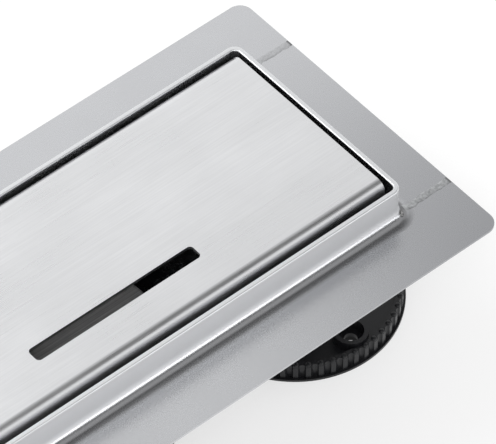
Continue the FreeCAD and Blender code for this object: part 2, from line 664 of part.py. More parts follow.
def strainer_cap():
    """The pressed strainer: a plain lid over a slotted skirt that stands on the insert's ledge."""
    body = new_body("strainer_cap")
    top = "( flange_level - strainer_drop )"
    out = f"( {SLEEVE_IN} - strainer_play )"
    bend_low = f"( {top} - strainer_sheet - strainer_bend )"
    section = new_sketch(body, "strainer_section", "XZ_Plane")
    outline(section, [
        ("0", top), ("0", f"( {top} - strainer_sheet )"),
        (f"( {out} - strainer_sheet - strainer_bend )", f"( {top} - strainer_sheet )"),
        (f"( {out} - strainer_sheet )", bend_low, "strainer_bend", -1),
        (f"( {out} - strainer_sheet )", LEDGE_TOP), (out, LEDGE_TOP), (out, bend_low),
        (f"( {out} - strainer_sheet - strainer_bend )", top, "( strainer_sheet + strainer_bend )", 1)])
    revolve(body, "strainer_pressed", section)
    slot = new_sketch(body, "strainer_slot_plan", "YZ_Plane", out)
    rounded_box(slot, "0", f"( {LEDGE_TOP} + strainer_slot_rise + strainer_slot_height / 2 )",
                "strainer_slot", "strainer_slot_height", "strainer_slot_corner")
    slots = extrude(body, "Pocket", "strainer_slot", slot, "( 2 * strainer_sheet )")
    ring_of(body, "strainer_slots", [slots], "strainer_slot_count")
    return body


def foot_bracket(label, along):
    """A folded hat under the trough floor that carries a foot's stud."""
    body = new_body(label, FLOOR_UNDER, along)
    fold = new_sketch(body, label + "_fold", "YZ_Plane")
    hat_fold(fold, "( bracket_span / 2 )", "bracket_tab", "bracket_sheet", "bracket_bend",
             "bracket_depth", "0 -")
    half = extrude(body, "Pad", label + "_half", fold, "bracket_breadth", both=True)
    mirror(body, label + "_whole", [half], "XZ_Plane")
    hole = new_sketch(body, label + "_hole_plan", "XY_Plane", "( bracket_sheet - bracket_depth )")
    circle(hole, "0", "0", "bracket_hole")
    extrude(body, "Pocket", label + "_hole", hole, "bracket_sheet")
    return body


def foot_washers(label, along):
    """The washers above and below a bracket's web."""
    body = new_body(label, WEB_UNDER, along)
    for name, height, back in (("lower", "0", True), ("upper", "bracket_sheet", False)):
        plan = new_sketch(body, f"{label}_{name}_plan", "XY_Plane", height)
        circle(plan, "0", "0", "washer_radius")
        circle(plan, "0", "0", "bracket_hole")
        extrude(body, "Pad", f"{label}_{name}", plan, "washer_height", back=back)
    return body


def nut(label, along, height, thick):
    """A hexagon nut on a foot's stud, its corners turned off at both faces."""
    body = new_body(label, height, along)
    plan = new_sketch(body, label + "_plan", "XY_Plane")
    corners = []
    for step in range(6):
        angle = 60 * step
        corners.append((f"( nut_width / sqrt(3) * cos({angle} deg) )",
                        f"( nut_width / sqrt(3) * sin({angle} deg) )"))
    outline(plan, corners)
    circle(plan, "0", "0", "( stud_radius + stud_play )")
    extrude(body, "Pad", label + "_hexagon", plan, thick)
    turned = new_sketch(body, label + "_turned", "XZ_Plane")
    tip = "( nut_width / sqrt(3) + nut_round )"
    flat = "( nut_width / 2 )"
    outline(turned, [(tip, f"( {thick} + nut_round )"), (flat, f"( {thick} + nut_round )"), (flat, thick),
                     (tip, f"( {thick} - nut_round )")])
    outline(turned, [(tip, "( 0 - nut_round )"), (tip, "nut_round"), (flat, "0"),
                     (flat, "( 0 - nut_round )")])
    revolve(body, label + "_corners", turned, kind="Groove")
    return body


def foot_stud(label, along):
    """The threaded stud of a foot, chamfered at both ends."""
    body = new_body(label, "stud_bottom", along)
    section = new_sketch(body, label + "_section", "XZ_Plane")
    length = f"( {FLOOR_UNDER} - stud_top_gap - stud_bottom )"
    outline(section, [("0", "0"), ("( stud_radius - stud_chamfer )", "0"), ("stud_radius", "stud_chamfer"),
                      ("stud_radius", f"( {length} - stud_chamfer )"),
                      ("( stud_radius - stud_chamfer )", length), ("0", length)])
    revolve(body, label + "_turned", section)
    return body


def foot_base(label, along):
    """The moulded foot: fluted rim, dished web, hub for the stud and two eyes for floor screws."""
    body = new_body(label, along=along)
    web_top = "( foot_pad_height + foot_web )"
    hub_top = "( foot_pad_show + foot_hub_height )"
    recess = f"( {PAD_RADIUS} + foot_pad_play )"
    socket = "( stud_radius + stud_play )"
    section = new_sketch(body, label + "_section", "XZ_Plane")
    outline(section, [
        ("0", "stud_bottom"), ("0", "foot_pad_height"), (recess, "foot_pad_height"),
        (recess, "foot_pad_show"), ("foot_radius", "foot_pad_show"), ("foot_radius", LIP_TOP),
        (BAND_RADIUS, LIP_TOP), (BAND_RADIUS, f"( {FOOT_TOP} - foot_shoulder )"),
        (f"( {BAND_RADIUS} - foot_shoulder )", FOOT_TOP, "foot_shoulder", 1),
        (f"( {BAND_RADIUS} - foot_rim )", FOOT_TOP),
        (f"( {BAND_RADIUS} - foot_rim - foot_rim_draft )", web_top),
        ("( foot_hub + foot_draft )", web_top), ("foot_hub", hub_top), (socket, hub_top),
        (socket, "stud_bottom")])
    revolve(body, label + "_turned", section)
    gusset = new_sketch(body, label + "_gusset_plan", "XY_Plane", "foot_pad_height")
    for sign in ("", "0 -"):
        near, far = f"( {sign} {EYE_PLACE} )", f"( {sign} ( {BAND_RADIUS} - foot_rim / 2 ) )"
        outline(gusset, [("( 0 - gusset_width / 2 )", near), ("( 0 - gusset_width / 2 )", far),
                         ("( gusset_width / 2 )", far), ("( gusset_width / 2 )", near)])
    extrude(body, "Pad", label + "_gussets", gusset, f"( {FOOT_TOP} - gusset_drop - foot_pad_height )")
    eye = new_sketch(body, label + "_eye_plan", "XY_Plane", "foot_pad_height")
    for sign in ("", "0 -"):
        circle(eye, "0", f"( {sign} {EYE_PLACE} )", "eye_radius")
    eye_top = "( foot_pad_show + eye_height )"
    extrude(body, "Pad", label + "_eyes", eye, f"( {eye_top} - foot_pad_height )")
    for name, radius, floor in (("bore", "eye_bore", "( foot_pad_height + eye_floor )"),
                                ("screw_hole", "eye_screw", "foot_pad_height")):
        plan = new_sketch(body, f"{label}_{name}_plan", "XY_Plane", eye_top)
        for sign in ("", "0 -"):
            circle(plan, "0", f"( {sign} {EYE_PLACE} )", radius)
        extrude(body, "Pocket", f"{label}_{name}", plan, f"( {eye_top} - {floor} )")
    flute = new_sketch(body, label + "_flute_plan", "XY_Plane", FOOT_TOP)
    circle(flute, f"( {BAND_RADIUS} + flute_radius - flute_depth )", "0", "flute_radius")
    flutes = extrude(body, "Pocket", label + "_flute", flute, "( foot_band - foot_lip_height )")
    ring_of(body, label + "_flutes", [flutes], "flute_count")
    return body


def foot_pad(label, along):
    """The rubber pad under a foot, holed for the floor screws."""
    body = new_body(label, along=along)
    plan = new_sketch(body, label + "_plan", "XY_Plane")
    circle(plan, "0", "0", PAD_RADIUS)
    for sign in ("", "0 -"):
        circle(plan, "0", f"( {sign} {EYE_PLACE} )", "eye_screw")
    extrude(body, "Pad", label + "_disc", plan, "foot_pad_height")
    return body


pieces = [channel_sheet(), end_sheet("end_sheet_right", 0), end_sheet("end_sheet_left", 180),
          corner_welds(), cover_plate(),
          cover_bridge("cover_bridge_right", "bridge_place"),
          cover_bridge("cover_bridge_left", "( 0 - bridge_place )"), cover_buffers(),
          seat_ring("trap_gasket", SEAT_TOP, "gasket_height"),
          seat_ring("clamp_ring", FLOOR_TOP, "ring_height"), clamp_screws(), trap_body(),
          trap_insert(), insert_o_ring(), trap_cup(), strainer_cap()]
for side, along in (("right", FOOT_X), ("left", f"( 0 - {FOOT_X} )")):
    pieces += [foot_bracket("foot_bracket_" + side, along), foot_washers("foot_washers_" + side, along),
               nut("adjusting_nut_" + side, along, f"{WEB_UNDER} - washer_height - nut_height",
                   "nut_height"),
               nut("lock_nut_" + side, along, f"{WEB_TOP} + washer_height", "lock_nut_height"),
               foot_stud("foot_stud_" + side, along), foot_base("foot_base_" + side, along),
               foot_pad("foot_pad_" + side, along)]

doc.recompute()
faults = [item.Name for item in doc.Objects if "Invalid" in item.State or "Error" in item.State]
faults += [piece.Label for piece in pieces if piece.Shape.isNull() or not piece.Shape.isValid()]
if faults:
    raise RuntimeError("failed: " + ", ".join(faults))

os.makedirs("parts", exist_ok=True)
for piece in pieces:
    piece.Shape.exportStep(f"parts/{piece.Label}.step")
    box = piece.Shape.BoundBox
    print(f"{piece.Label:22s} solids {len(piece.Shape.Solids)} volume {piece.Shape.Volume:10.1f}"
          f" x {box.XMin:7.1f} {box.XMax:7.1f} y {box.YMin:6.1f} {box.YMax:6.1f}"
          f" z {box.ZMin:6.1f} {box.ZMax:6.1f}")
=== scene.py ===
import json
import math

import bmesh
import bpy
from mathutils import Matrix, Vector, noise
from mathutils.bvhtree import BVHTree


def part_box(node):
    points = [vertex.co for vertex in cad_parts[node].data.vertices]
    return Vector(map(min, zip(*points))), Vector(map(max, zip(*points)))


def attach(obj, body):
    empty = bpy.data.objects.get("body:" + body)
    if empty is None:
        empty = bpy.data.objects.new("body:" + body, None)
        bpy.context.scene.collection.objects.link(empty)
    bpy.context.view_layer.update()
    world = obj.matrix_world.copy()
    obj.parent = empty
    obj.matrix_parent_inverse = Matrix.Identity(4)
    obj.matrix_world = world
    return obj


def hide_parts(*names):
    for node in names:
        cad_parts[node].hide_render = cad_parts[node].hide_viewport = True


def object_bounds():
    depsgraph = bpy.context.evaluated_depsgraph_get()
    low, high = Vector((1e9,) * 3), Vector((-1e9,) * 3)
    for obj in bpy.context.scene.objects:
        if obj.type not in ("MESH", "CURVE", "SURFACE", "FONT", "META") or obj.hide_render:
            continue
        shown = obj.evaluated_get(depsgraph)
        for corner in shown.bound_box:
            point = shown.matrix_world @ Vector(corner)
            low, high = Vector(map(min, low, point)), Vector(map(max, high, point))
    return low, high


bl_info = {
    "name": "Linear shower drain",
    "version": (1, 0, 0),
    "blender": (4, 5, 0),
    "location": "View3D > Sidebar > Drain",
    "description": "Dresses a linear shower drain with finishes, welds and threads, and lights it",
    "category": "Object",
}

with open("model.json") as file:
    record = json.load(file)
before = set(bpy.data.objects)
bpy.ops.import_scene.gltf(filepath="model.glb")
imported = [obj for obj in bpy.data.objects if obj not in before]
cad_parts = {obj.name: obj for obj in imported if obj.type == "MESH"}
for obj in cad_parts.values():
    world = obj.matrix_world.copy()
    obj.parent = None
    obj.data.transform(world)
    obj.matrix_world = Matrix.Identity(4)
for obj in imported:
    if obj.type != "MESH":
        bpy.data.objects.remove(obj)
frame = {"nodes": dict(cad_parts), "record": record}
NODES = frame["nodes"]
CAD_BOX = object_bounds()
MM = 0.001

# From the frame: the drain's middle, where the end sheet and the corner welds end, and the height
# of the flange's upper face.
CENTRE = (CAD_BOX[0] + CAD_BOX[1]) / 2
SEAM_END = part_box("end_sheet_right")[1]
CORNER_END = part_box("corner_welds")[1]
MOUNT_HEIGHTS = {mount["name"]: mount["pos_m"][2] for mount in frame["record"]["mounts"]}
FLANGE_LEVEL = MOUNT_HEIGHTS["flange_face_near"]

# The part's own sizes: the rim's outer faces from the middle, and the radius of its corners.
RIM_OUT = Vector((123.3 * MM, 50.8 * MM, 0))
RIM_CORNER = 4.7 * MM

# Where the sheet's tones fade in or out: outwards from the rim's faces, upwards from the flange
# (for the rim's faces, and for a band of painted shade in the bend at the rim's foot), upwards
# from the rim's top, and over the drain's length and width (painted shade that darkens the
# sheet towards its near right end).
RIM_FACE_OUT = (-0.6 * MM, -0.1 * MM)
RIM_FACE_UP = (2.8 * MM, 4.2 * MM)
BEND_SHADE_START, BEND_SHADE_STOP = (0.25 * MM, 0.8 * MM), (2.8 * MM, 2.1 * MM)
RIM_TOP_UP = (-0.5 * MM, -0.1 * MM)
NEAR_RIGHT_SHADE_X = (0.0, CAD_BOX[1].x)
NEAR_RIGHT_SHADE_Y = (1.6 * CORNER_END.y, -1.6 * CORNER_END.y)

# Grain: the detail of its noise and of its clouds, and the levels of their blend that become tones
# 0 and 1.
GRAIN_DETAIL, CLOUD_DETAIL, TONE_LEVELS = 4.0, 3.0, (0.3, 0.7)

# A flange seam: points along and across it, how far it stops short of the sheet's edge, how far
# its middle wanders, how much its width changes, the lean of its ripples and their share of its
# height, how uneven the grinding left it, and its lift off the sheet.
SEAM_STEPS, SEAM_RIBS = 84, 10
SEAM_SHORT, SEAM_WANDER, SEAM_LIFT = 0.15 * MM, 0.35 * MM, 0.002 * MM
SEAM_SPREAD, RIPPLE_LEAN, RIPPLE_SHARE, GRIND_SHARE = 0.28, 0.5, 0.28, 0.5
# Waves a metre along the seam and over its ground face, where in the noise each seam starts, and
# how much finer and how far off in it the width's own waves are.
SEAM_WAVES, GRIND_WAVES, SEAM_STARTS = 260, 900, (3.1, 5.7)
WIDTH_WAVES, WIDTH_START = 1.9, Vector((4, 0, 0))
# Where painted shade of a notch darkens the seam, inwards from the sheet's edge, and to which
# tone; and the painted light that brings the far seams nearer the sheet's own tone, with its
# share.
NOTCH_SHADE_REACH, NOTCH_SHADE_TONE = (-1.4 * MM, -0.4 * MM), (0.17, 0.17, 0.175, 1.0)
FAR_LIGHT_SHARE, FAR_LIGHT_TONE = 0.6, (0.52, 0.525, 0.54, 1.0)

# A weld pit from its edge to its middle: shares of its radius out and up; its sides and its lean.
PIT_SHAPE = ((1.05, -0.5), (1.0, 0.05), (0.88, 0.30), (0.74, 0.34), (0.62, 0.16), (0.50, 0.05),
             (0.1, 0.03))
PIT_SIDES, PIT_LEAN = 24, 0.10

# The feet: how many flutes their rims have; a rib's head from its foot to its top, in shares of
# its radius out and up; its sides, and how many of its radii it stands in from the rim's edge.
FLUTE_COUNT = 54
CROWN_SHAPE = ((0.9, -0.6), (1.0, -0.1), (0.94, 0.20), (0.74, 0.40), (0.45, 0.52), (0.1, 0.56))
CROWN_SIDES, CROWN_INSET = 12, 1.02

# A rolled thread: rows of points in each turn and their height, from root 0 to crest 1, and sides.
THREAD_SHAPE = (0.0, 0.0, 0.5, 1.0, 1.0, 0.5)
THREAD_STEPS, THREAD_SIDES = len(THREAD_SHAPE), 40

# The clamp screws: how many, the radii of head and shank, the tip's share of the shank, the plain
# shank under the head, the head's rim and its broken edge, the socket's taper, and sides.
SCREW_COUNT, SCREW_HEAD, SCREW_SHANK, SCREW_TIP = 6, 4.0 * MM, 2.0 * MM, 0.5
SCREW_PLAIN, HEAD_RIM, HEAD_BREAK = 0.4 * MM, 0.05 * MM, 0.1 * MM
SOCKET_TAPER, SCREW_SIDES = 0.96, 24

# Points closer than this are one, and a ray that falls into a joint is moved this far.
MERGE_REACH = 0.001 * MM
JOINT_NUDGE = 0.01 * MM

# The stage: half the floor's width and how much its lightness varies; each lamp's name, offset
# from the drain's middle, size and setting; and the camera's place and turn, from the photograph.
FLOOR_REACH, FLOOR_CHANGE = 3.0, 0.005
LAMPS = (
    ("soft_lamp", (-0.55, 0.75, 1.25), (1.1, 0.8), "lamp_power"),
    ("strip_lamp", (0.60, -1.20, 0.035), (1.8, 0.24), "strip_power"),
    ("fill_lamp", (-0.60, -0.74, 1.15), (0.35, 0.35), "fill_power"),
)
CAMERA_PLACE = (-0.7552, -0.9882, 1.5860)
CAMERA_AHEAD = (0.4209, 0.4943, -0.7606)
CAMERA_UPRIGHT = (0.4931, 0.5791, 0.6492)

# The grey card: its radius about the drain's length, its left and right ends, its reach and step
# in degrees above the front horizon, and how pale it is from its own tone, 0, to white, 1.
CARD_RADIUS, CARD_ENDS = 1.2, (-0.60, 1.60)
CARD_LOW, CARD_HIGH, CARD_STEP = 9, 121, 4
CARD_TONES = ((9, 0.0), (22, 0.0), (28, 1.0), (52, 1.0), (60, 0.05), (84, 0.0), (104, 0.35),
              (121, 1.0))


# Mesh helpers


def mesh_piece(name, build):
    """Make an object whose mesh is in the frame's own coordinates."""
    bm = bmesh.new()
    build(bm)
    bmesh.ops.recalc_face_normals(bm, faces=bm.faces)
    mesh = bpy.data.meshes.new(name)
    bm.to_mesh(mesh)
    bm.free()
    piece = bpy.data.objects.new(name, mesh)
    bpy.context.scene.collection.objects.link(piece)
    return piece


def dress(piece, finish, smooth=True):
    """Give a new piece one material, and shade it smooth or flat."""
    piece.data.materials.append(finish)
    for face in piece.data.polygons:
        face.use_smooth = smooth


def finish_node(names, finish):
    """Give CAD nodes one material."""
    for name in names:
        node = NODES[name]
        if not node.material_slots:
            node.data.materials.append(finish)
        for holder in node.material_slots:
            holder.material = finish


def bridge_rings(bm, rings):
    """Join rings of points, each closed and as long as the next, and close both ends."""
    made = [[bm.verts.new(point) for point in ring] for ring in rings]
    for lower, upper in zip(made, made[1:]):
        for here in range(len(lower)):
            there = (here + 1) % len(lower)
            bm.faces.new((lower[here], lower[there], upper[there], upper[here]))
    bm.faces.new(reversed(made[0]))
    bm.faces.new(made[-1])


def surface_of(names):
    """A search tree over the CAD nodes' surfaces, for pieces that lie on them."""
    corners, faces = [], []
    for name in names:
        mesh = NODES[name].data
        start = len(corners)
        corners += [vertex.co.copy() for vertex in mesh.vertices]
        faces += [[start + corner for corner in face.vertices] for face in mesh.polygons]
    return BVHTree.FromPolygons(corners, faces)


def drop(tree, x, y, height):
    """The first point of a surface below a place, or just beside a joint in it, and its normal."""
    for nudge in (0.0, JOINT_NUDGE, -JOINT_NUDGE):
        start = Vector((x + nudge, y + nudge, height))
        point, normal, _, _ = tree.ray_cast(start, Vector((0, 0, -1)))
        if point is not None:
            return point, normal
    raise RuntimeError(f"nothing lies below ({x:.4f}, {y:.4f})")


def around(centre, radius, height, count, shape=None):
    """A ring of points about an upright axis; shape turns an angle into a share of the radius."""
    ring = []
    for step in range(count):
        angle = 2 * math.pi * step / count
        share = shape(angle) if shape else 1
        ring.append(Vector((centre.x + radius * share * math.cos(angle),
                            centre.y + radius * share * math.sin(angle), height)))
    return ring


def hexagon(angle):
    """The share of a circle's radius that a hexagon inside it reaches at an angle."""
    sixth = math.pi / 3
    return math.cos(sixth / 2) / math.cos(angle % sixth - sixth / 2)


def threaded_rod(bm, centre, low, high, radius, pitch, depth, chamfer):
    """A rod with a rolled thread: rows of points follow the helix, and both ends are chamfered."""
    turns = math.ceil((high - low) / pitch) + 2
    rows = []
    for row in range(-THREAD_STEPS, turns * THREAD_STEPS):
        level = low + pitch * row / THREAD_STEPS
        cut = depth * (1 - THREAD_SHAPE[row % THREAD_STEPS])
        ring = []
        for step in range(THREAD_SIDES):
            angle = 2 * math.pi * step / THREAD_SIDES
            height = min(max(level + pitch * step / THREAD_SIDES, low), high)
            reach = radius - chamfer + min(height - low, high - height)
            reach = min(radius - cut, reach)
            if height in (low, high):
                reach = radius - chamfer - depth / 2
            ring.append(bm.verts.new((centre.x + reach * math.cos(angle),
                                      centre.y + reach * math.sin(angle), height)))
        rows.append(ring)
    for row in range(len(rows) - THREAD_STEPS - 1):
        for step in range(THREAD_SIDES):
            if step + 1 < THREAD_SIDES:
                corners = (rows[row][step], rows[row][step + 1], rows[row + 1][step + 1],
                           rows[row + 1][step])
            else:
                corners = (rows[row][step], rows[row + THREAD_STEPS][0],
                           rows[row + THREAD_STEPS + 1][0], rows[row + 1][step])
            bm.faces.new(corners)
    bmesh.ops.remove_doubles(bm, verts=bm.verts, dist=MERGE_REACH)
    bmesh.ops.dissolve_degenerate(bm, edges=bm.edges, dist=MERGE_REACH)
    loose = [vert for vert in bm.verts if not vert.link_faces]
    bmesh.ops.delete(bm, geom=loose, context="VERTS")
    rim = [edge for edge in bm.edges if edge.is_boundary]
    bmesh.ops.holes_fill(bm, edges=rim, sides=0)


# Shader helpers


def socket_in(group, name, kind, value, low=None, high=None):
    """Add a named input to a node group."""
    made = group.interface.new_socket(name=name, in_out="INPUT", socket_type=kind)
    made.default_value = value
    if low is not None:
        made.min_value, made.max_value = low, high


def socket_out(group, name, kind):
    """Add a named output to a node group."""
    group.interface.new_socket(name=name, in_out="OUTPUT", socket_type=kind)


def surface_axes(nodes, links):
    """The X, Y and Z of a point on the surface, in the frame."""
    place = nodes.new("ShaderNodeTexCoord")
    apart = nodes.new("ShaderNodeSeparateXYZ")
    links.new(place.outputs["Object"], apart.inputs["Vector"])
    return apart.outputs


def sum_up(nodes, links, operation, *terms):
    """One sum on sockets and numbers."""
    made = nodes.new("ShaderNodeMath")
    made.operation = operation
    for given, term in zip(made.inputs, terms):
        if isinstance(term, bpy.types.NodeSocket):
            links.new(term, given)
        else:
            given.default_value = term
    return made.outputs["Value"]


def reach_mask(nodes, links, value, base, reach):
    """A mask that goes from 0 to 1 where a value goes through a reach that starts at a base."""
    mask = nodes.new("ShaderNodeMapRange")
    mask.interpolation_type = "SMOOTHSTEP"
    mask.inputs["From Min"].default_value = base + reach[0]
    mask.inputs["From Max"].default_value = base + reach[1]
    links.new(value, mask.inputs["Value"])
    return mask.outputs["Result"]


def fade(nodes, links, mask, first, second, kind="FLOAT"):
    """Fade from one socket to a second socket, number or colour where the mask is 1."""
    made = nodes.new("ShaderNodeMix")
    made.data_type = kind
    links.new(mask, made.inputs["Factor"])
    links.new(first, made.inputs["A"])
    if isinstance(second, bpy.types.NodeSocket):
        links.new(second, made.inputs["B"])
    else:
        made.inputs["B"].default_value = second
    return made.outputs["Result"]


def white_rays(nodes, links):
    """1 for rays by which the camera, steel and clear things see, and 0 for those that light."""
    path = nodes.new("ShaderNodeLightPath").outputs
    either = sum_up(nodes, links, "MAXIMUM", path["Is Camera Ray"], path["Is Glossy Ray"])
    return sum_up(nodes, links, "MAXIMUM", either, path["Is Transmission Ray"])


def grain_group():
    """Grain for steel and plastic: streaks or specks from stretched noise, over slow clouds."""
    group = bpy.data.node_groups.new("Drain grain", "ShaderNodeTree")
    socket_in(group, "Grain scale", "NodeSocketVector", (1000.0, 1000.0, 1000.0))
    socket_in(group, "Grain share", "NodeSocketFloat", 0.5, 0.0, 1.0)
    socket_in(group, "Cloud scale", "NodeSocketFloat", 30.0, 0.0, 10000.0)
    socket_out(group, "Tone", "NodeSocketFloat")
    socket_out(group, "Height", "NodeSocketFloat")
    nodes, links = group.nodes, group.links
    given = nodes.new("NodeGroupInput").outputs
    place = nodes.new("ShaderNodeTexCoord")
    stretch = nodes.new("ShaderNodeVectorMath")
    stretch.operation = "MULTIPLY"
    links.new(place.outputs["Object"], stretch.inputs[0])
    links.new(given["Grain scale"], stretch.inputs[1])
    grain = nodes.new("ShaderNodeTexNoise")
    grain.inputs["Scale"].default_value = 1.0
    grain.inputs["Detail"].default_value = GRAIN_DETAIL
    links.new(stretch.outputs["Vector"], grain.inputs["Vector"])
    cloud = nodes.new("ShaderNodeTexNoise")
    cloud.inputs["Detail"].default_value = CLOUD_DETAIL
    links.new(place.outputs["Object"], cloud.inputs["Vector"])
    links.new(given["Cloud scale"], cloud.inputs["Scale"])
    blend = fade(nodes, links, given["Grain share"], cloud.outputs["Fac"], grain.outputs["Fac"])
    spread = nodes.new("ShaderNodeMapRange")
    spread.inputs["From Min"].default_value = TONE_LEVELS[0]
    spread.inputs["From Max"].default_value = TONE_LEVELS[1]
    links.new(blend, spread.inputs["Value"])
    out = nodes.new("NodeGroupOutput")
    links.new(spread.outputs["Result"], out.inputs["Tone"])
    links.new(grain.outputs["Fac"], out.inputs["Height"])
    return group


def drain_finish(name, dark, light, rough, metal=0.0, grain=(1000, 1000, 1000), share=0.5,
                 cloud=30.0, bump=0.1, depth=0.02):
    """A procedural finish: grain sets the colour and roughness, and its height is a bump."""
    made = bpy.data.materials.new(name)
    made.use_nodes = True
    nodes, links = made.node_tree.nodes, made.node_tree.links
    shader = nodes["Principled BSDF"]
    shader.inputs["Metallic"].default_value = metal
    texture = nodes.new("ShaderNodeGroup")
    texture.node_tree = bpy.data.node_groups.get("Drain grain") or grain_group()
    texture.inputs["Grain scale"].default_value = grain
    texture.inputs["Grain share"].default_value = share
    texture.inputs["Cloud scale"].default_value = cloud
    colour = nodes.new("ShaderNodeMix")
    colour.data_type = "RGBA"
    colour.inputs["A"].default_value = (*dark, 1.0)
    colour.inputs["B"].default_value = (*light, 1.0)
    links.new(texture.outputs["Tone"], colour.inputs["Factor"])
    links.new(colour.outputs["Result"], shader.inputs["Base Color"])
    gloss = nodes.new("ShaderNodeMapRange")
    gloss.inputs["To Min"].default_value = rough[0]
    gloss.inputs["To Max"].default_value = rough[1]
    links.new(texture.outputs["Tone"], gloss.inputs["Value"])
    links.new(gloss.outputs["Result"], shader.inputs["Roughness"])
    relief = nodes.new("ShaderNodeBump")
    relief.inputs["Strength"].default_value = bump
    relief.inputs["Distance"].default_value = depth * MM
    links.new(texture.outputs["Height"], relief.inputs["Height"])
    links.new(relief.outputs["Normal"], shader.inputs["Normal"])
    return made


def sheet_group():
    """The folded sheet: its brushed rim, and painted shade in the bend and towards its near right
    end.
    """
    group = bpy.data.node_groups.new("Drain sheet", "ShaderNodeTree")
    for name, colour, rough in (("Sheet", (0.60, 0.607, 0.625, 1.0), 0.27),
                                ("Rim", (0.76, 0.766, 0.78, 1.0), 0.62),
                                ("Rim top", (0.76, 0.77, 0.785, 1.0), 0.42)):
        socket_in(group, name + " colour", "NodeSocketColor", colour)
        socket_in(group, name + " roughness", "NodeSocketFloat", rough, 0.0, 1.0)
    # Painted shade: the dark tone in the bend at the rim's foot, and the tone that darkens the
    # sheet towards its near right end, with its share.
    socket_in(group, "Fold colour", "NodeSocketColor", (0.26, 0.262, 0.27, 1.0))
    socket_in(group, "Drift colour", "NodeSocketColor", (0.34, 0.345, 0.36, 1.0))
    socket_in(group, "Drift share", "NodeSocketFloat", 0.85, 0.0, 1.0)
    socket_out(group, "Colour", "NodeSocketColor")
    socket_out(group, "Roughness", "NodeSocketFloat")
    nodes, links = group.nodes, group.links
    given = nodes.new("NodeGroupInput").outputs
    axes = surface_axes(nodes, links)
    # How far a point lies out past the middle of its rounded corner, along the rim's faces too.
    squares = []
    for axis, face in (("X", RIM_OUT.x), ("Y", RIM_OUT.y)):
        out = sum_up(nodes, links, "ABSOLUTE", axes[axis])
        out = sum_up(nodes, links, "SUBTRACT", out, face - RIM_CORNER)
        out = sum_up(nodes, links, "MAXIMUM", out, 0.0)
        squares.append(sum_up(nodes, links, "POWER", out, 2.0))
    out = sum_up(nodes, links, "SQRT", sum_up(nodes, links, "ADD", *squares))
    beyond = reach_mask(nodes, links, out, RIM_CORNER, RIM_FACE_OUT)
    above = reach_mask(nodes, links, axes["Z"], FLANGE_LEVEL, RIM_FACE_UP)
    wall = sum_up(nodes, links, "MULTIPLY", beyond, above)
    top = reach_mask(nodes, links, axes["Z"], CORNER_END.z, RIM_TOP_UP)
    # Painted shade in the bend at the rim's foot: a band just above the flange.
    off = reach_mask(nodes, links, axes["Z"], FLANGE_LEVEL, BEND_SHADE_START)
    below = reach_mask(nodes, links, axes["Z"], FLANGE_LEVEL, BEND_SHADE_STOP)
    bend_shade = sum_up(nodes, links, "MULTIPLY", off, below)
    # Painted shade that darkens the sheet towards its near right end.
    right = reach_mask(nodes, links, axes["X"], 0.0, NEAR_RIGHT_SHADE_X)
    near = reach_mask(nodes, links, axes["Y"], 0.0, NEAR_RIGHT_SHADE_Y)
    near_right_shade = sum_up(nodes, links, "MULTIPLY", right, near)
    near_right_shade = sum_up(nodes, links, "MULTIPLY", near_right_shade, given["Drift share"])
    colour = given["Sheet colour"]
    for mask, name in ((near_right_shade, "Drift"), (bend_shade, "Fold"), (wall, "Rim"), (top, "Rim top")):
        colour = fade(nodes, links, mask, colour, given[name + " colour"], "RGBA")
    rough = fade(nodes, links, wall, given["Sheet roughness"], given["Rim roughness"])
    rough = fade(nodes, links, top, rough, given["Rim top roughness"])
    out = nodes.new("NodeGroupOutput")
    links.new(colour, out.inputs["Colour"])
    links.new(rough, out.inputs["Roughness"])
    return group


def sheet_finish(made, steel):
    """Put the sheet group between a material's grain and its shader."""
    nodes, links = made.node_tree.nodes, made.node_tree.links
    shader = nodes["Principled BSDF"]
    sheet = nodes.new("ShaderNodeGroup")
    sheet.node_tree = bpy.data.node_groups.get("Drain sheet") or sheet_group()
    sheet.inputs["Rim colour"].default_value = (*steel.rim_colour, 1.0)
    sheet.inputs["Rim roughness"].default_value = steel.rim_roughness
    # How strong the painted shade towards the sheet's near right end is.
    sheet.inputs["Drift share"].default_value = steel.near_right_shade_share
    for given, name, result in (("Sheet colour", "Base Color", "Colour"),
                                ("Sheet roughness", "Roughness", "Roughness")):
        links.new(shader.inputs[name].links[0].from_socket, sheet.inputs[given])
        links.new(sheet.outputs[result], shader.inputs[name])


def seam_finish():
    """A ground weld, with painted light nearer the sheet's own tone at the far side and painted
    shade of a notch at its outer end.
    """
    seam = drain_finish("Flange seam", grey(0.24, -0.02), grey(0.60, -0.02), (0.26, 0.44),
                        metal=1.0, grain=(800, 800, 800), share=0.7, cloud=420.0, bump=0.9,
                        depth=0.08)
    nodes, links = seam.node_tree.nodes, seam.node_tree.links
    axes = surface_axes(nodes, links)
    out = sum_up(nodes, links, "ABSOLUTE", axes["X"])
    # Painted shade of a notch at the seam's outer end.
    notch_shade = reach_mask(nodes, links, out, SEAM_END.x, NOTCH_SHADE_REACH)
    # Painted light that brings the far seams nearer the sheet's own tone.
    far = reach_mask(nodes, links, axes["Y"], 0.0, (-SEAM_END.y, SEAM_END.y))
    far = sum_up(nodes, links, "MULTIPLY", far, FAR_LIGHT_SHARE)
    paint = nodes["Principled BSDF"].inputs["Base Color"]
    colour = paint.links[0].from_socket
    for mask, tone in ((far, FAR_LIGHT_TONE), (notch_shade, NOTCH_SHADE_TONE)):
        colour = fade(nodes, links, mask, colour, tone, "RGBA")
    links.new(colour, paint)
    return seam


def rubber_finish(context, name):
    """Matt black rubber with a fine speckle."""
    colour = Vector(context.scene.drain_moulding.rubber_colour)
    return drain_finish(name, colour * 0.8, colour * 1.4, (0.70, 0.85),
                        grain=(2500, 2500, 2500), share=0.7, cloud=120.0, bump=0.3, depth=0.03)


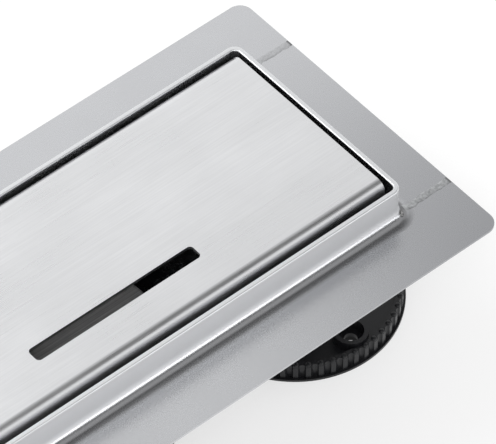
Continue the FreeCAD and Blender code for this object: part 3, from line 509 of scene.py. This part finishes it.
def moulded_finish(context, name, speck=1800, rough=(0.42, 0.52)):
    """Black moulded plastic with a fine spark-eroded texture."""
    colour = Vector(context.scene.drain_moulding.plastic_colour)
    made = drain_finish(name, colour * 0.7, colour * 1.5, rough, grain=(speck, speck, speck),
                        share=0.75, cloud=80.0, bump=0.3, depth=0.03)
    made.node_tree.nodes["Principled BSDF"].inputs["Specular IOR Level"].default_value = 0.3
    return made


def grey(value, warm=0.0):
    """A near-neutral linear colour, a little warmer or cooler."""
    return (value * (1 + warm), value, value * (1 - warm))


# Settings a user would change


class DrainSteelSettings(bpy.types.PropertyGroup):
    flange_colour: bpy.props.FloatVectorProperty(
        name="Flange colour", description="Colour of the rolled sheet", subtype="COLOR",
        size=3, min=0.0, max=1.0, default=(0.600, 0.607, 0.625))
    flange_roughness: bpy.props.FloatProperty(
        name="Flange roughness", description="Roughness of the rolled sheet",
        min=0.0, max=1.0, default=0.27)
    # Painted shade: how far the sheet is darkened towards its near right end.
    near_right_shade_share: bpy.props.FloatProperty(
        name="Tone drift", description="How much darker the sheet gets to its near right end",
        min=0.0, max=1.0, default=0.85)
    rim_colour: bpy.props.FloatVectorProperty(
        name="Rim colour", description="Colour of the brushed outer face of the rim",
        subtype="COLOR", size=3, min=0.0, max=1.0, default=(0.76, 0.766, 0.78))
    rim_roughness: bpy.props.FloatProperty(
        name="Rim roughness", description="Roughness of the brushed outer face of the rim",
        min=0.0, max=1.0, default=0.62)
    cover_colour: bpy.props.FloatVectorProperty(
        name="Cover colour", description="Colour of the brushed cover", subtype="COLOR",
        size=3, min=0.0, max=1.0, default=(0.760, 0.766, 0.778))
    cover_roughness: bpy.props.FloatProperty(
        name="Cover roughness", description="Roughness of the brushed cover",
        min=0.0, max=1.0, default=0.30)


class DrainWeldSettings(bpy.types.PropertyGroup):
    seam_overlap: bpy.props.FloatProperty(
        name="Seam overlap", description="How far the seam starts inside the rim corner's foot",
        unit="LENGTH", default=4.2 * MM)
    seam_width: bpy.props.FloatProperty(
        name="Seam width", description="Width of the ground weld across the flange",
        unit="LENGTH", default=3.2 * MM)
    seam_height: bpy.props.FloatProperty(
        name="Seam height", description="How far the ground weld stands proud of the flange",
        unit="LENGTH", default=0.09 * MM)
    seam_ripple: bpy.props.FloatProperty(
        name="Seam ripple", description="Spacing of the ripples that grinding left",
        unit="LENGTH", default=1.1 * MM)
    pit_radius: bpy.props.FloatProperty(
        name="Pit radius", description="Radius of the weld pit at a rim corner's foot",
        unit="LENGTH", default=1.45 * MM)
    pit_inset: bpy.props.FloatProperty(
        name="Pit inset", description="How far the pit lies in from the rim's end face",
        unit="LENGTH", default=0.9 * MM)


class DrainThreadSettings(bpy.types.PropertyGroup):
    stud_pitch: bpy.props.FloatProperty(
        name="Stud pitch", description="Pitch of the foot studs' thread",
        unit="LENGTH", default=1.5 * MM)
    stud_depth: bpy.props.FloatProperty(
        name="Stud thread depth", description="Depth of the foot studs' thread",
        unit="LENGTH", default=0.9 * MM)
    stud_chamfer: bpy.props.FloatProperty(
        name="Stud chamfer", description="Chamfer at both ends of a stud",
        unit="LENGTH", default=0.6 * MM)
    screw_pitch: bpy.props.FloatProperty(
        name="Screw pitch", description="Pitch of the clamp screws' thread",
        unit="LENGTH", default=1.2 * MM)
    screw_depth: bpy.props.FloatProperty(
        name="Screw thread depth", description="Depth of the clamp screws' thread",
        unit="LENGTH", default=0.5 * MM)
    socket_radius: bpy.props.FloatProperty(
        name="Socket radius", description="Reach of the hexagon socket in a clamp screw's head",
        unit="LENGTH", default=1.45 * MM)
    socket_depth: bpy.props.FloatProperty(
        name="Socket depth", description="Depth of the hexagon socket in a clamp screw's head",
        unit="LENGTH", default=1.6 * MM)


class DrainMouldingSettings(bpy.types.PropertyGroup):
    plastic_colour: bpy.props.FloatVectorProperty(
        name="Plastic colour", description="Colour of the feet and trap", subtype="COLOR",
        size=3, min=0.0, max=1.0, default=(0.009, 0.0092, 0.0105))
    rubber_colour: bpy.props.FloatVectorProperty(
        name="Rubber colour", description="Colour of pads, buffers and seals", subtype="COLOR",
        size=3, min=0.0, max=1.0, default=(0.012, 0.012, 0.012))
    crown_radius: bpy.props.FloatProperty(
        name="Rib head radius", description="Radius of the rounded heads of a foot's ribs",
        unit="LENGTH", default=1.25 * MM)
    band_top: bpy.props.FloatProperty(
        name="Band top", description="Height of the fluted band of the feet above the slab",
        unit="LENGTH", default=8.7 * MM)
    lip_step: bpy.props.FloatProperty(
        name="Lip step", description="How far the band lies in from the foot's lip",
        unit="LENGTH", default=0.8 * MM)


class DrainStageSettings(bpy.types.PropertyGroup):
    floor_colour: bpy.props.FloatProperty(
        name="Floor", description="Lightness of the floor", min=0.0, max=1.0, default=0.93)
    floor_white: bpy.props.FloatProperty(
        name="Floor white",
        description="Share of plain white in what the camera and steel see of the floor",
        min=0.0, max=1.0, default=0.62)
    sky_strength: bpy.props.FloatProperty(
        name="Sky", description="Strength of the even light from all round",
        min=0.0, default=0.80)
    lamp_power: bpy.props.FloatProperty(
        name="Lamp", description="Power of the large soft lamp",
        unit="POWER", min=0.0, default=12.0)
    strip_power: bpy.props.FloatProperty(
        name="Strip", description="Power of the low strip lamp in front",
        unit="POWER", min=0.0, default=4.6)
    fill_power: bpy.props.FloatProperty(
        name="Fill", description="Power of the small lamp beside the camera",
        unit="POWER", min=0.0, default=5.0)
    card_tone: bpy.props.FloatProperty(
        name="Card", description="Lightness of the grey card that the steel reflects",
        min=0.0, max=1.0, default=0.15)
    lens: bpy.props.FloatProperty(
        name="Lens", description="Focal length of the camera", unit="CAMERA", default=362.9)


# Operators, one for the stage and for each piece or group of like pieces


class DRAIN_OT_stage(bpy.types.Operator):
    """Make the floor, the light from all round, the lamps, the grey card and the camera"""
    bl_idname = "drain.stage"
    bl_label = "Stage"

    def execute(self, context):
        stage = context.scene.drain_stage
        floor = mesh_piece("studio_floor", self.floor)
        dress(floor, self.floor_finish(stage.floor_colour, stage.floor_white), smooth=False)
        self.sky(context, stage.sky_strength)
        for name, offset, size, power in LAMPS:
            self.lamp(context, name, Vector(offset), size, getattr(stage, power))
        card = mesh_piece("grey_card", self.card)
        dress(card, self.card_finish(stage.card_tone))
        for ray in ("camera", "diffuse", "shadow", "transmission", "volume_scatter"):
            setattr(card, "visible_" + ray, False)
        self.camera(context, stage.lens)
        context.scene.view_settings.view_transform = "Standard"
        return {"FINISHED"}

    @staticmethod
    def floor(bm):
        """A square floor on the slab's level."""
        bm.faces.new([bm.verts.new((x * FLOOR_REACH, y * FLOOR_REACH, 0))
                      for x, y in ((-1, -1), (1, -1), (1, 1), (-1, 1))])

    @staticmethod
    def floor_finish(lightness, whiteness):
        """A pale matt floor that looks an even white, with the drain's shadow."""
        made = bpy.data.materials.new("Pale floor")
        made.use_nodes = True
        nodes, links = made.node_tree.nodes, made.node_tree.links
        shader = nodes["Principled BSDF"]
        shader.inputs["Roughness"].default_value = 0.9
        shader.inputs["Specular IOR Level"].default_value = 0.0
        place = nodes.new("ShaderNodeTexCoord")
        paper = nodes.new("ShaderNodeTexNoise")
        paper.inputs["Scale"].default_value = 40.0
        links.new(place.outputs["Object"], paper.inputs["Vector"])
        tone = nodes.new("ShaderNodeMapRange")
        tone.inputs["To Min"].default_value = lightness - FLOOR_CHANGE
        tone.inputs["To Max"].default_value = lightness + FLOOR_CHANGE
        links.new(paper.outputs["Fac"], tone.inputs["Value"])
        links.new(tone.outputs["Result"], shader.inputs["Base Color"])
        white = nodes.new("ShaderNodeEmission")
        part = sum_up(nodes, links, "MULTIPLY", white_rays(nodes, links), whiteness)
        both = nodes.new("ShaderNodeMixShader")
        links.new(part, both.inputs["Fac"])
        links.new(shader.outputs["BSDF"], both.inputs[1])
        links.new(white.outputs["Emission"], both.inputs[2])
        links.new(both.outputs["Shader"], nodes["Material Output"].inputs["Surface"])
        return made

    @staticmethod
    def sky(context, strength):
        """Even light from all round, which the camera, steel and clear things see as white."""
        world = bpy.data.worlds.new("Studio")
        context.scene.world = world
        world.use_nodes = True
        nodes, links = world.node_tree.nodes, world.node_tree.links
        nodes.clear()
        seen, light = (nodes.new("ShaderNodeBackground") for _ in range(2))
        for background in (seen, light):
            background.inputs["Color"].default_value = (1.0, 1.0, 1.0, 1.0)
        light.inputs["Strength"].default_value = strength
        both = nodes.new("ShaderNodeMixShader")
        links.new(white_rays(nodes, links), both.inputs["Fac"])
        links.new(light.outputs["Background"], both.inputs[1])
        links.new(seen.outputs["Background"], both.inputs[2])
        out = nodes.new("ShaderNodeOutputWorld")
        links.new(both.outputs["Shader"], out.inputs["Surface"])

    @staticmethod
    def lamp(context, name, offset, size, power):
        """A soft rectangular lamp that faces the drain."""
        lamp = bpy.data.lights.new(name, "AREA")
        lamp.shape = "RECTANGLE"
        lamp.size, lamp.size_y = size
        lamp.energy = power
        holder = bpy.data.objects.new(name, lamp)
        context.scene.collection.objects.link(holder)
        holder.visible_camera = False
        holder.location = CENTRE + offset
        holder.rotation_euler = (-offset).to_track_quat("-Z", "Y").to_euler()

    @staticmethod
    def card(bm):
        """A card bent round the drain's length, from low in front to just past overhead."""
        rows = []
        for rise in range(CARD_LOW, CARD_HIGH + 1, CARD_STEP):
            angle = math.radians(rise)
            y, z = -CARD_RADIUS * math.cos(angle), CARD_RADIUS * math.sin(angle)
            rows.append([bm.verts.new(CENTRE + Vector((x, y, z))) for x in CARD_ENDS])
        for here, there in zip(rows, rows[1:]):
            bm.faces.new((here[0], here[1], there[1], there[0]))

    @staticmethod
    def card_finish(tone):
        """A card that shines by itself, dark with one paler band that the folded edges mirror."""
        made = bpy.data.materials.new("Grey card")
        made.use_nodes = True
        nodes, links = made.node_tree.nodes, made.node_tree.links
        nodes.clear()
        axes = surface_axes(nodes, links)
        ahead = sum_up(nodes, links, "SUBTRACT", CENTRE.y, axes["Y"])
        up = sum_up(nodes, links, "SUBTRACT", axes["Z"], CENTRE.z)
        rise = sum_up(nodes, links, "ARCTAN2", up, ahead)
        ramp = nodes.new("ShaderNodeValToRGB")
        ramp.color_ramp.interpolation = "EASE"
        stops = ramp.color_ramp.elements
        for number, (degrees, level) in enumerate(CARD_TONES):
            stop = stops[number] if number < 2 else stops.new(degrees / 180)
            stop.position = degrees / 180
            value = tone + (1 - tone) * level
            stop.color = (value, value, value, 1.0)
        links.new(sum_up(nodes, links, "DIVIDE", rise, math.pi), ramp.inputs["Fac"])
        shine = nodes.new("ShaderNodeEmission")
        links.new(ramp.outputs["Color"], shine.inputs["Color"])
        out = nodes.new("ShaderNodeOutputMaterial")
        links.new(shine.outputs["Emission"], out.inputs["Surface"])
        return made

    @staticmethod
    def camera(context, lens):
        """The photograph's view: its place, its direction and its upright in the frame."""
        ahead = Vector(CAMERA_AHEAD).normalized()
        side = ahead.cross(Vector(CAMERA_UPRIGHT).normalized()).normalized()
        lens_data = bpy.data.cameras.new("camera")
        lens_data.lens = lens
        lens_data.sensor_width = 36.0
        lens_data.clip_start = 0.05
        eye = bpy.data.objects.new("camera", lens_data)
        context.scene.collection.objects.link(eye)
        turn = Matrix((side, side.cross(ahead), -ahead)).transposed().to_4x4()
        eye.matrix_world = Matrix.Translation(Vector(CAMERA_PLACE)) @ turn
        context.scene.camera = eye


class DRAIN_OT_channel(bpy.types.Operator):
    """Finish the folded channel, its end sheets and the welds that round its corners"""
    bl_idname = "drain.channel"
    bl_label = "Channel"

    def execute(self, context):
        steel = context.scene.drain_steel
        colour = Vector(steel.flange_colour)
        rough = steel.flange_roughness
        sheet = drain_finish("Rolled sheet", colour * 0.97, colour * 1.03,
                             (rough - 0.02, rough + 0.02), metal=1.0, grain=(1500, 1500, 1500),
                             share=0.45, cloud=45.0, bump=0.02, depth=0.003)
        # The sheet group adds the brushed rim, and painted shade in the bend and towards the near
        # right end.
        sheet_finish(sheet, steel)
        finish_node(["channel_sheet", "end_sheet_right", "end_sheet_left"], sheet)
        ground = drain_finish("Ground weld", colour * 0.90, colour * 1.02, (rough, rough + 0.10),
                              metal=1.0, grain=(900, 900, 2500), share=0.7, cloud=300.0,
                              bump=0.25, depth=0.02)
        # The corner welds take the same brushed rim and painted shade.
        sheet_finish(ground, steel)
        finish_node(["corner_welds"], ground)
        return {"FINISHED"}


class DRAIN_OT_seams(bpy.types.Operator):
    """Lay the ground weld seams across the flange, and the weld pit at each rim corner's foot"""
    bl_idname = "drain.seams"
    bl_label = "Flange seams"

    def execute(self, context):
        weld = context.scene.drain_weld
        seam = seam_finish()
        pit = drain_finish("Weld pit", grey(0.05), grey(0.42), (0.25, 0.50), metal=1.0,
                           grain=(900, 900, 900), share=0.6, cloud=900.0, bump=0.6, depth=0.06)
        sheets = surface_of(["channel_sheet", "end_sheet_right", "end_sheet_left", "corner_welds"])
        for side, along in (("right", 1), ("left", -1)):
            for edge, across in (("near", -1), ("far", 1)):
                piece = mesh_piece(f"flange_seam_{edge}_{side}",
                                   lambda bm: self.seam(bm, weld, sheets, along, across))
                dress(piece, seam)
                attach(piece, "channel")
                spot = mesh_piece(f"weld_pit_{edge}_{side}",
                                  lambda bm: self.pit(bm, weld, sheets, along, across))
                dress(spot, pit)
                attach(spot, "channel")
        return {"FINISHED"}

    @staticmethod
    def seam(bm, weld, sheets, along, across):
        """A low strip with wavy edges and ripples, from the rim's foot to the flange's edge."""
        start, end = CORNER_END.x - weld.seam_overlap, SEAM_END.x - SEAM_SHORT
        rows = []
        for step in range(SEAM_STEPS + 1):
            x = start + (end - start) * step / SEAM_STEPS
            seed = Vector((x * SEAM_WAVES, across * SEAM_STARTS[0], along * SEAM_STARTS[1]))
            wander = noise.noise(seed) * SEAM_WANDER
            spread = noise.noise(seed * WIDTH_WAVES + WIDTH_START)
            half = weld.seam_width / 2 * (1 + SEAM_SPREAD * spread)
            row = []
            for rib in range(SEAM_RIBS + 1):
                share = 2 * rib / SEAM_RIBS - 1
                y = SEAM_END.y + wander + half * share
                chevron = x + RIPPLE_LEAN * half * (1 - share * share)
                ripple = math.cos(2 * math.pi * chevron / weld.seam_ripple)
                rise = weld.seam_height * (1 - share ** 4)
                rise *= 1 - RIPPLE_SHARE + RIPPLE_SHARE * ripple
                rise *= 1 + GRIND_SHARE * noise.noise(Vector((x, y, 0)) * GRIND_WAVES)
                foot, normal = drop(sheets, along * x, across * y, CORNER_END.z)
                row.append(bm.verts.new(foot + normal * (max(rise, 0) + SEAM_LIFT)))
            rows.append(row)
        for here, there in zip(rows, rows[1:]):
            for rib in range(SEAM_RIBS):
                bm.faces.new((here[rib], here[rib + 1], there[rib + 1], there[rib]))

    @staticmethod
    def pit(bm, weld, sheets, along, across):
        """A small pit with a raised lip where the weld starts, at the foot of a rim corner."""
        x, y = RIM_OUT.x - weld.pit_inset, RIM_OUT.y
        foot, normal = drop(sheets, along * x, across * y, CORNER_END.z)
        side = normal.cross(Vector((0, 0, 1))).normalized()
        rise_way = normal.cross(side)
        rings = []
        for share, rise in PIT_SHAPE:
            ring = []
            for step in range(PIT_SIDES):
                angle = 2 * math.pi * step / PIT_SIDES
                lean = 1 + PIT_LEAN * math.sin(2 * angle + along + across)
                reach = weld.pit_radius * share * lean
                ring.append(foot + side * (reach * math.cos(angle))
                            + rise_way * (reach * math.sin(angle))
                            + normal * (rise * weld.pit_radius))
            rings.append(ring)
        bridge_rings(bm, rings)


class DRAIN_OT_cover(bpy.types.Operator):
    """Finish the brushed cover, the bridges that carry it and their buffers"""
    bl_idname = "drain.cover"
    bl_label = "Cover"

    def execute(self, context):
        steel = context.scene.drain_steel
        colour = Vector(steel.cover_colour)
        rough = steel.cover_roughness
        brushed = drain_finish("Brushed cover", colour * 0.91, colour * 1.07,
                               (rough - 0.05, rough + 0.06), metal=1.0, grain=(40, 1500, 1500),
                               share=0.45, cloud=26.0, bump=0.18, depth=0.02)
        finish_node(["cover_plate"], brushed)
        plain = drain_finish("Bridge sheet", grey(0.50), grey(0.56), (0.32, 0.38), metal=1.0,
                             grain=(1200, 1200, 1200), share=0.4, cloud=60.0, bump=0.08,
                             depth=0.01)
        finish_node(["cover_bridge_right", "cover_bridge_left"], plain)
        finish_node(["cover_buffers"], rubber_finish(context, "Buffer rubber"))
        return {"FINISHED"}


class DRAIN_OT_trap(bpy.types.Operator):
    """Finish the trap, its insert, cup, clamp ring, seals and strainer"""
    bl_idname = "drain.trap"
    bl_label = "Trap"

    def execute(self, context):
        finish_node(["trap_body"], moulded_finish(context, "Trap body plastic"))
        finish_node(["trap_insert", "trap_cup", "clamp_ring"],
                    moulded_finish(context, "Trap insert plastic", speck=2600, rough=(0.30, 0.40)))
        finish_node(["trap_gasket", "insert_o_ring"], rubber_finish(context, "Seal rubber"))
        lid = drain_finish("Brushed strainer", grey(0.55), grey(0.92), (0.55, 0.70), metal=0.45,
                           grain=(40, 1700, 1700), share=0.85, cloud=20.0, bump=0.25, depth=0.02)
        finish_node(["strainer_cap"], lid)
        return {"FINISHED"}


class DRAIN_OT_clamp_screws(bpy.types.Operator):
    """Make the countersunk clamp screws, with their sockets and threads"""
    bl_idname = "drain.clamp_screws"
    bl_label = "Clamp screws"

    def execute(self, context):
        thread = context.scene.drain_thread
        low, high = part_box("clamp_screws")
        circle = high.x - SCREW_HEAD

        def screws(bm):
            for number in range(SCREW_COUNT):
                angle = 2 * math.pi * number / SCREW_COUNT
                centre = Vector((circle * math.cos(angle), circle * math.sin(angle), 0))
                self.screw(bm, centre, low.z, high.z, thread)

        piece = mesh_piece("clamp_screws_threaded", screws)
        bright = drain_finish("Bright screw", grey(0.52), grey(0.60), (0.22, 0.30), metal=1.0,
                              grain=(1800, 1800, 1800), share=0.5, cloud=200.0, bump=0.05,
                              depth=0.01)
        dress(piece, bright, smooth=False)
        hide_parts("clamp_screws")
        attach(piece, "channel")
        return {"FINISHED"}

    @staticmethod
    def screw(bm, centre, low, high, thread):
        """One screw: tip, thread as stacked ridges, cone head and a hexagon socket."""
        rows = [(SCREW_SHANK * SCREW_TIP, low)]
        level = low + SCREW_SHANK * SCREW_TIP
        neck = high - SCREW_HEAD + SCREW_SHANK
        while level + thread.screw_pitch < neck - SCREW_PLAIN:
            rows.append((SCREW_SHANK - thread.screw_depth, level))
            rows.append((SCREW_SHANK, level + thread.screw_pitch / 2))
            level += thread.screw_pitch
        rows += [(SCREW_SHANK, neck), (SCREW_HEAD, high - HEAD_RIM),
                 (SCREW_HEAD - HEAD_BREAK, high)]
        rings = [around(centre, radius, height, SCREW_SIDES) for radius, height in rows]
        for radius, height in ((thread.socket_radius, high),
                               (thread.socket_radius * SOCKET_TAPER, high - thread.socket_depth)):
            rings.append(around(centre, radius, height, SCREW_SIDES, hexagon))
        bridge_rings(bm, rings)


class DRAIN_OT_feet(bpy.types.Operator):
    """Finish the feet, brackets and nuts, and make the rib heads and the threaded studs"""
    bl_idname = "drain.feet"
    bl_label = "Feet"

    def execute(self, context):
        thread = context.scene.drain_thread
        moulding = context.scene.drain_moulding
        plastic = moulded_finish(context, "Foot plastic", rough=(0.26, 0.38))
        rubber = rubber_finish(context, "Foot rubber")
        bright = drain_finish("Stud steel", grey(0.48), grey(0.60), (0.24, 0.34), metal=1.0,
                              grain=(1500, 1500, 400), share=0.6, cloud=150.0, bump=0.1,
                              depth=0.02)
        folded = drain_finish("Bracket sheet", grey(0.50), grey(0.57), (0.30, 0.38), metal=1.0,
                              grain=(1200, 1200, 1200), share=0.4, cloud=60.0, bump=0.08,
                              depth=0.01)
        for side in ("right", "left"):
            finish_node([f"foot_base_{side}"], plastic)
            finish_node([f"foot_pad_{side}"], rubber)
            finish_node([f"foot_bracket_{side}"], folded)
            finish_node([f"foot_washers_{side}", f"adjusting_nut_{side}", f"lock_nut_{side}"],
                        bright)
            crowns = mesh_piece(f"rib_crowns_{side}", lambda bm: self.crowns(bm, moulding, side))
            dress(crowns, plastic)
            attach(crowns, f"foot_{side}")
            low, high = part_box(f"foot_stud_{side}")
            stud = mesh_piece(f"threaded_stud_{side}", lambda bm: threaded_rod(
                bm, (low + high) / 2, low.z, high.z, (high.x - low.x) / 2, thread.stud_pitch,
                thread.stud_depth, thread.stud_chamfer))
            dress(stud, bright, smooth=False)
            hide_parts(f"foot_stud_{side}")
            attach(stud, f"foot_{side}")
        return {"FINISHED"}

    @staticmethod
    def crowns(bm, moulding, side):
        """The rounded head of each rib between the flutes of a foot's rim."""
        low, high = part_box(f"foot_base_{side}")
        centre = (low + high) / 2
        edge = (high.x - low.x) / 2 - moulding.lip_step
        radius = moulding.crown_radius
        for number in range(FLUTE_COUNT):
            angle = 2 * math.pi * (number + 0.5) / FLUTE_COUNT
            out = Vector((math.cos(angle), math.sin(angle), 0))
            side_way = Vector((-out.y, out.x, 0))
            middle = centre + out * (edge - CROWN_INSET * radius)
            rings = []
            for share, rise in CROWN_SHAPE:
                ring = []
                for step in range(CROWN_SIDES):
                    turn = 2 * math.pi * step / CROWN_SIDES
                    place = middle + out * (radius * share * math.cos(turn))
                    place += side_way * (radius * share * math.sin(turn))
                    place.z = moulding.band_top + rise * radius
                    ring.append(place)
                rings.append(ring)
            bridge_rings(bm, rings)


class DRAIN_PT_panel(bpy.types.Panel):
    """Lists the drain's settings and operators"""
    bl_label = "Shower drain"
    bl_idname = "DRAIN_PT_panel"
    bl_space_type = "VIEW_3D"
    bl_region_type = "UI"
    bl_category = "Drain"

    def draw(self, context):
        for name in SETTINGS:
            box = self.layout.box()
            group = getattr(context.scene, name)
            for prop in group.bl_rna.properties:
                if prop.identifier not in ("rna_type", "name"):
                    box.prop(group, prop.identifier)
        for operator in OPERATORS:
            self.layout.operator(operator.bl_idname)


SETTINGS = {
    "drain_steel": DrainSteelSettings,
    "drain_weld": DrainWeldSettings,
    "drain_thread": DrainThreadSettings,
    "drain_moulding": DrainMouldingSettings,
    "drain_stage": DrainStageSettings,
}
OPERATORS = (DRAIN_OT_stage, DRAIN_OT_channel, DRAIN_OT_seams, DRAIN_OT_cover, DRAIN_OT_trap,
             DRAIN_OT_clamp_screws, DRAIN_OT_feet)


def register():
    for name, group in SETTINGS.items():
        bpy.utils.register_class(group)
        setattr(bpy.types.Scene, name, bpy.props.PointerProperty(type=group))
    for operator in OPERATORS:
        bpy.utils.register_class(operator)
    bpy.utils.register_class(DRAIN_PT_panel)


def unregister():
    bpy.utils.unregister_class(DRAIN_PT_panel)
    for operator in reversed(OPERATORS):
        bpy.utils.unregister_class(operator)
    for name, group in SETTINGS.items():
        delattr(bpy.types.Scene, name)
        bpy.utils.unregister_class(group)


def main():
    """Make the stage and every piece."""
    register()
    for operator in OPERATORS:
        group, name = operator.bl_idname.split(".")
        getattr(getattr(bpy.ops, group), name)()


if __name__ == "__main__":
    main()
